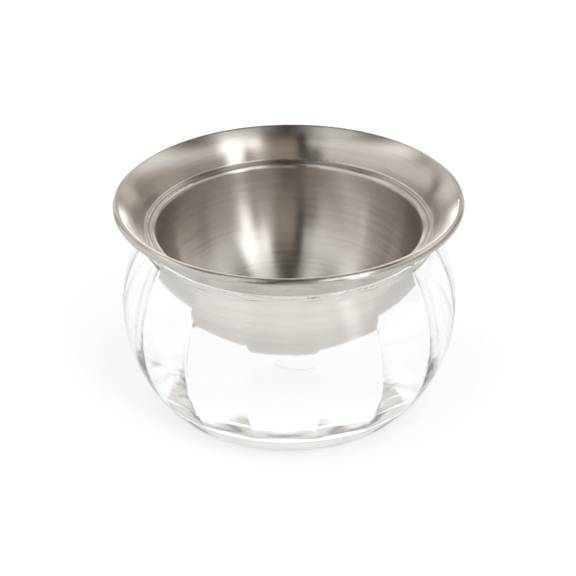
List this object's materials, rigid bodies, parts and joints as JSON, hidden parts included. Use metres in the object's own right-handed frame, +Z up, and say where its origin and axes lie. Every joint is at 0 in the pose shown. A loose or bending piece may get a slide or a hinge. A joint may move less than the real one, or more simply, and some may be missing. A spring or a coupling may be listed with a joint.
{
  "type": "chilled dip bowl",
  "caption": "Serving bowl with a spun steel insert that rests in the mouth of a clear globe, which holds ice under and around it.",
  "frame": {"origin": "centre of the foot, on the surface that the bowl stands on", "axes": "+Z up along the axis of the bowl; -Y towards the viewer of the picture"},
  "size_m": [0.178, 0.178, 0.1102],
  "materials": {
    "satin_steel": "spun satin",
    "clear_acrylic": "clear gloss"
  },
  "bodies": {
    "root": {"steel_insert": "satin_steel", "clear_bowl": "clear_acrylic"}
  },
  "joints": []
}
